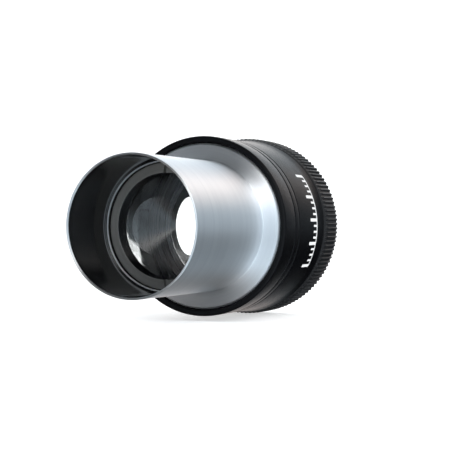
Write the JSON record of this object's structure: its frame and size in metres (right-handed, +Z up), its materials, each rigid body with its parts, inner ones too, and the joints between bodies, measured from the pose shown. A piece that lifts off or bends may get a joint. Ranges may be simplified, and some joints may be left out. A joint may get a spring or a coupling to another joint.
{
  "type": "microscope eyepiece",
  "caption": "Wide-field eyepiece with a bright push-in tube, seating flange, black grooved body and a knurled focusing ring that moves the lens group.",
  "frame": {"origin": "centre of the seating face of the bright flange, where the push-in tube starts", "axes": "+Y along the optical axis towards the eye end; the push-in tube runs to -Y; +Z is up as the eyepiece lies"},
  "size_m": [0.044, 0.07, 0.044],
  "materials": {
    "bright_aluminium": "fine turned, bare",
    "black_anodised": "satin black anodised aluminium",
    "matt_black": "dark anodised against stray light",
    "black_steel": "black oxide steel",
    "spring_steel": "bright steel",
    "brass": "turned",
    "black_nylon": "graphite-filled nylon",
    "coated_glass": "polished, single-layer coated"
  },
  "bodies": {
    "housing": {"barrel": "bright_aluminium", "body_shell": "black_anodised", "barrel_lock_screw": "black_steel", "field_cell": "matt_black", "field_lens_retainer": "matt_black", "field_lens": "coated_glass", "field_lens_spacer": "matt_black", "field_stop": "matt_black", "field_stop_ring": "matt_black", "friction_washer": "black_nylon", "ring_keeper": "spring_steel"},
    "focus_ring": {"knurled_ring": "black_anodised", "cam_ring": "brass", "eye_cap": "black_anodised"},
    "lens_group": {"lens_carrier": "matt_black", "drive_pins": "spring_steel", "doublet_seat_ring": "matt_black", "doublet_crown": "coated_glass", "doublet_flint": "coated_glass", "lens_spacer": "matt_black", "eye_lens": "coated_glass", "eye_lens_retainer": "matt_black"}
  },
  "joints": [
    {"name": "ring_turn", "type": "hinge", "parent": "housing", "child": "focus_ring", "pos_m": [0, 0, 0], "axis": [0, 1, 0], "range_deg": [-60, 60]},
    {"name": "lens_slide", "type": "slide", "parent": "housing", "child": "lens_group", "axis": [0, 1, 0], "range_m": [-0.00201, 0.00201]}
  ],
  "couplings": [
    {"joint": "lens_slide", "follows": "ring_turn", "m_per_rad": 0.0019099}
  ]
}
